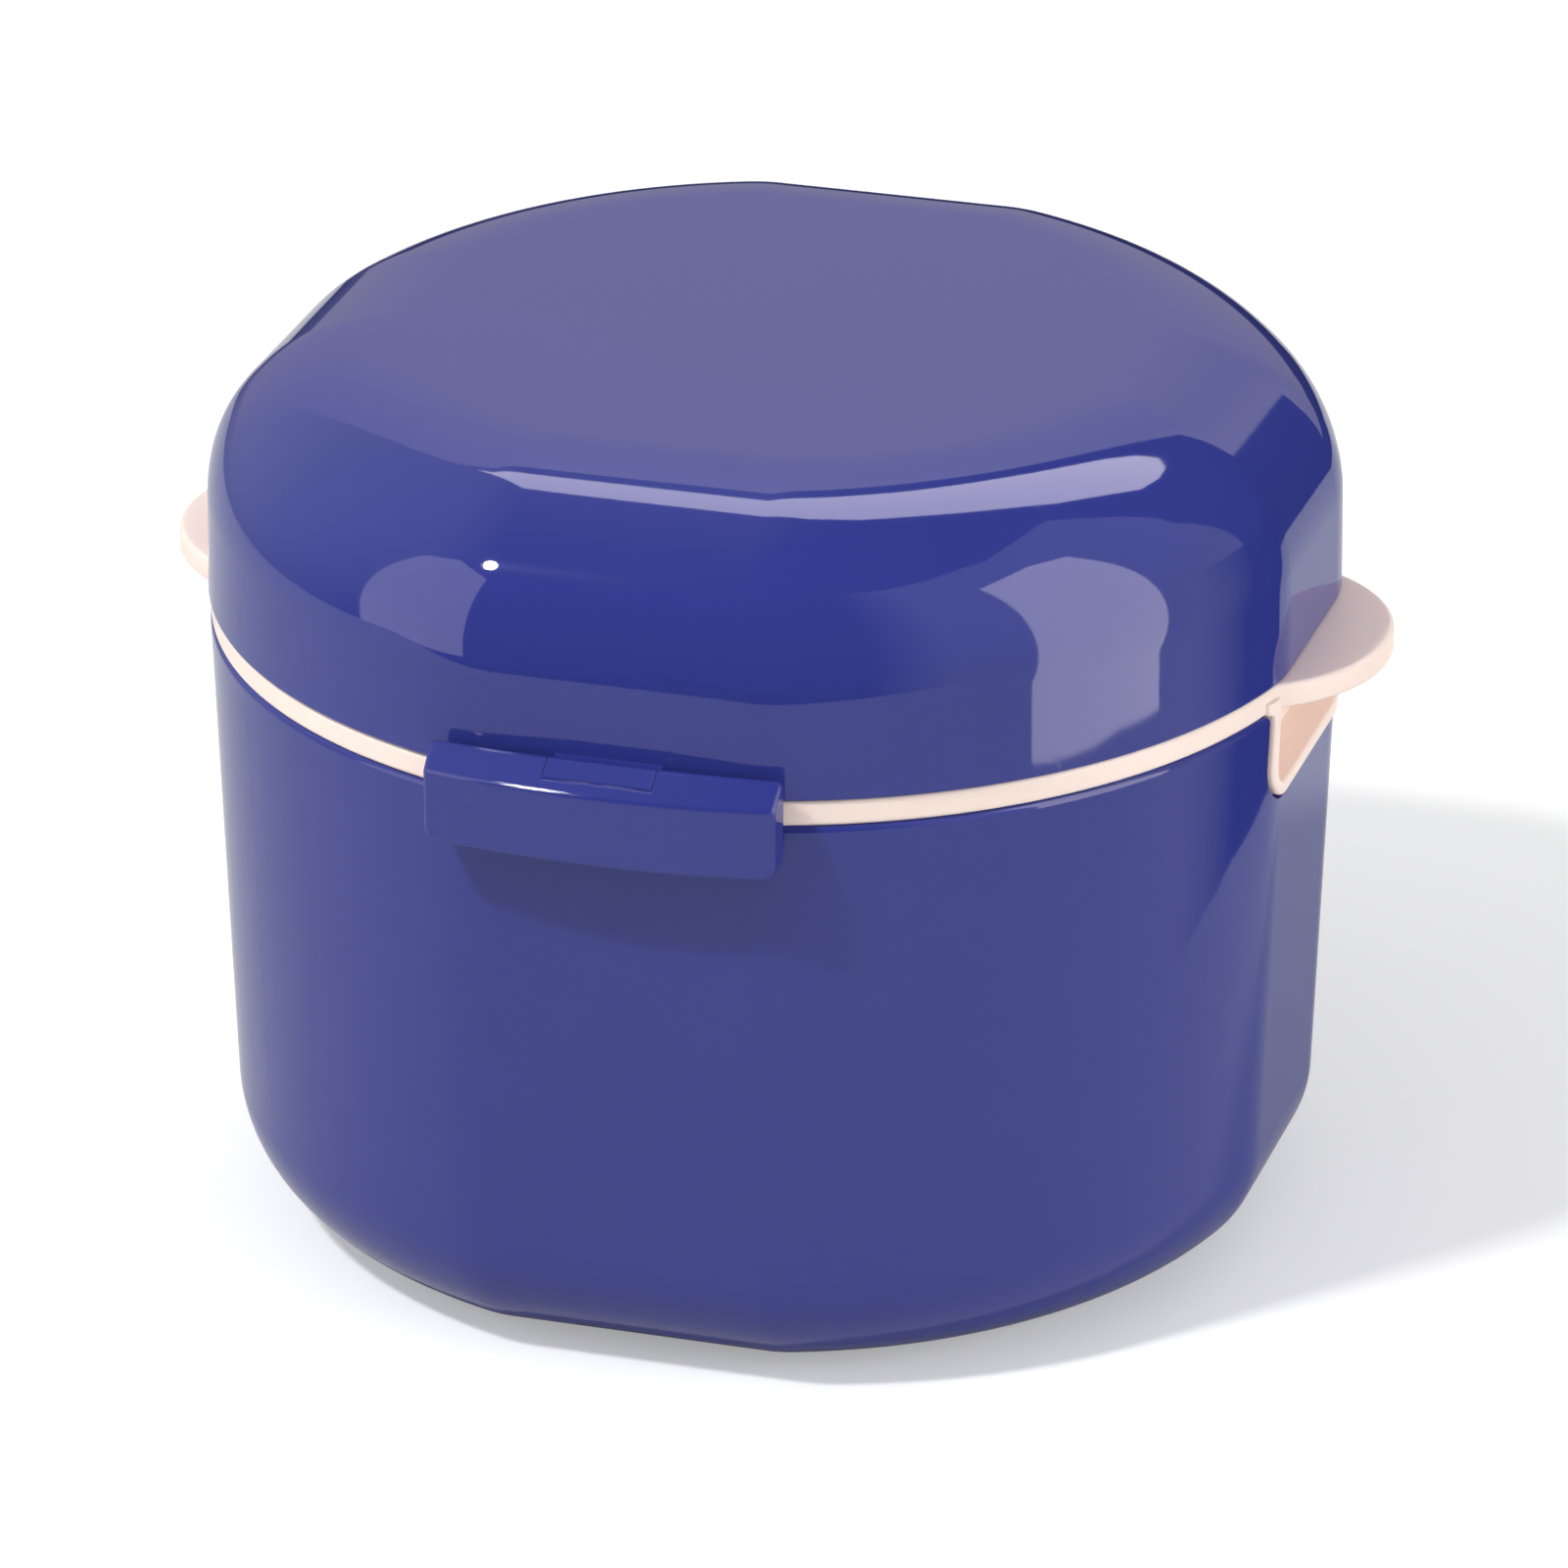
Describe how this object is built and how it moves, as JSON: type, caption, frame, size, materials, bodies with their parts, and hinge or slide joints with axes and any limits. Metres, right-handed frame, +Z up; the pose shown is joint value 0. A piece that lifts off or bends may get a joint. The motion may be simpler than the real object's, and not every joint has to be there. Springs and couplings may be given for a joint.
{
  "type": "retainer cleaning box",
  "caption": "Squat round cleaning box for a dental retainer: drafted cup, lift-out strainer basket with finger ears, hinged domed lid and snap latch.",
  "frame": {"origin": "middle of the foot's flat underside, on the axis of the round box", "axes": "+Z up through the lid, -Y to the front where the latch is, +X to the right ear when seen from the front"},
  "size_m": [0.093, 0.0931, 0.0684],
  "materials": {
    "cup_shell": "glossy indigo moulded plastic",
    "lid_shell": "glossy indigo moulded plastic",
    "latch_plastic": "glossy indigo moulded plastic",
    "basket_plastic": "satin pale pink moulded plastic",
    "seal_silicone": "matt translucent white silicone",
    "pin_steel": "drawn stainless wire"
  },
  "bodies": {
    "base": {"cup": "cup_shell", "basket": "basket_plastic", "hinge_pin": "pin_steel"},
    "lid": {"lid": "lid_shell", "lid_seal": "seal_silicone"},
    "latch": {"latch": "latch_plastic"}
  },
  "joints": [
    {"name": "lid_hinge", "type": "hinge", "parent": "base", "child": "lid", "pos_m": [0, 0.0449, 0.047], "axis": [-1, 0, 0], "range_deg": [0, 110]},
    {"name": "latch_hinge", "type": "hinge", "parent": "lid", "child": "latch", "pos_m": [0, -0.04217, 0.0491], "axis": [-1, 0, 0], "range_deg": [0, 105]}
  ]
}
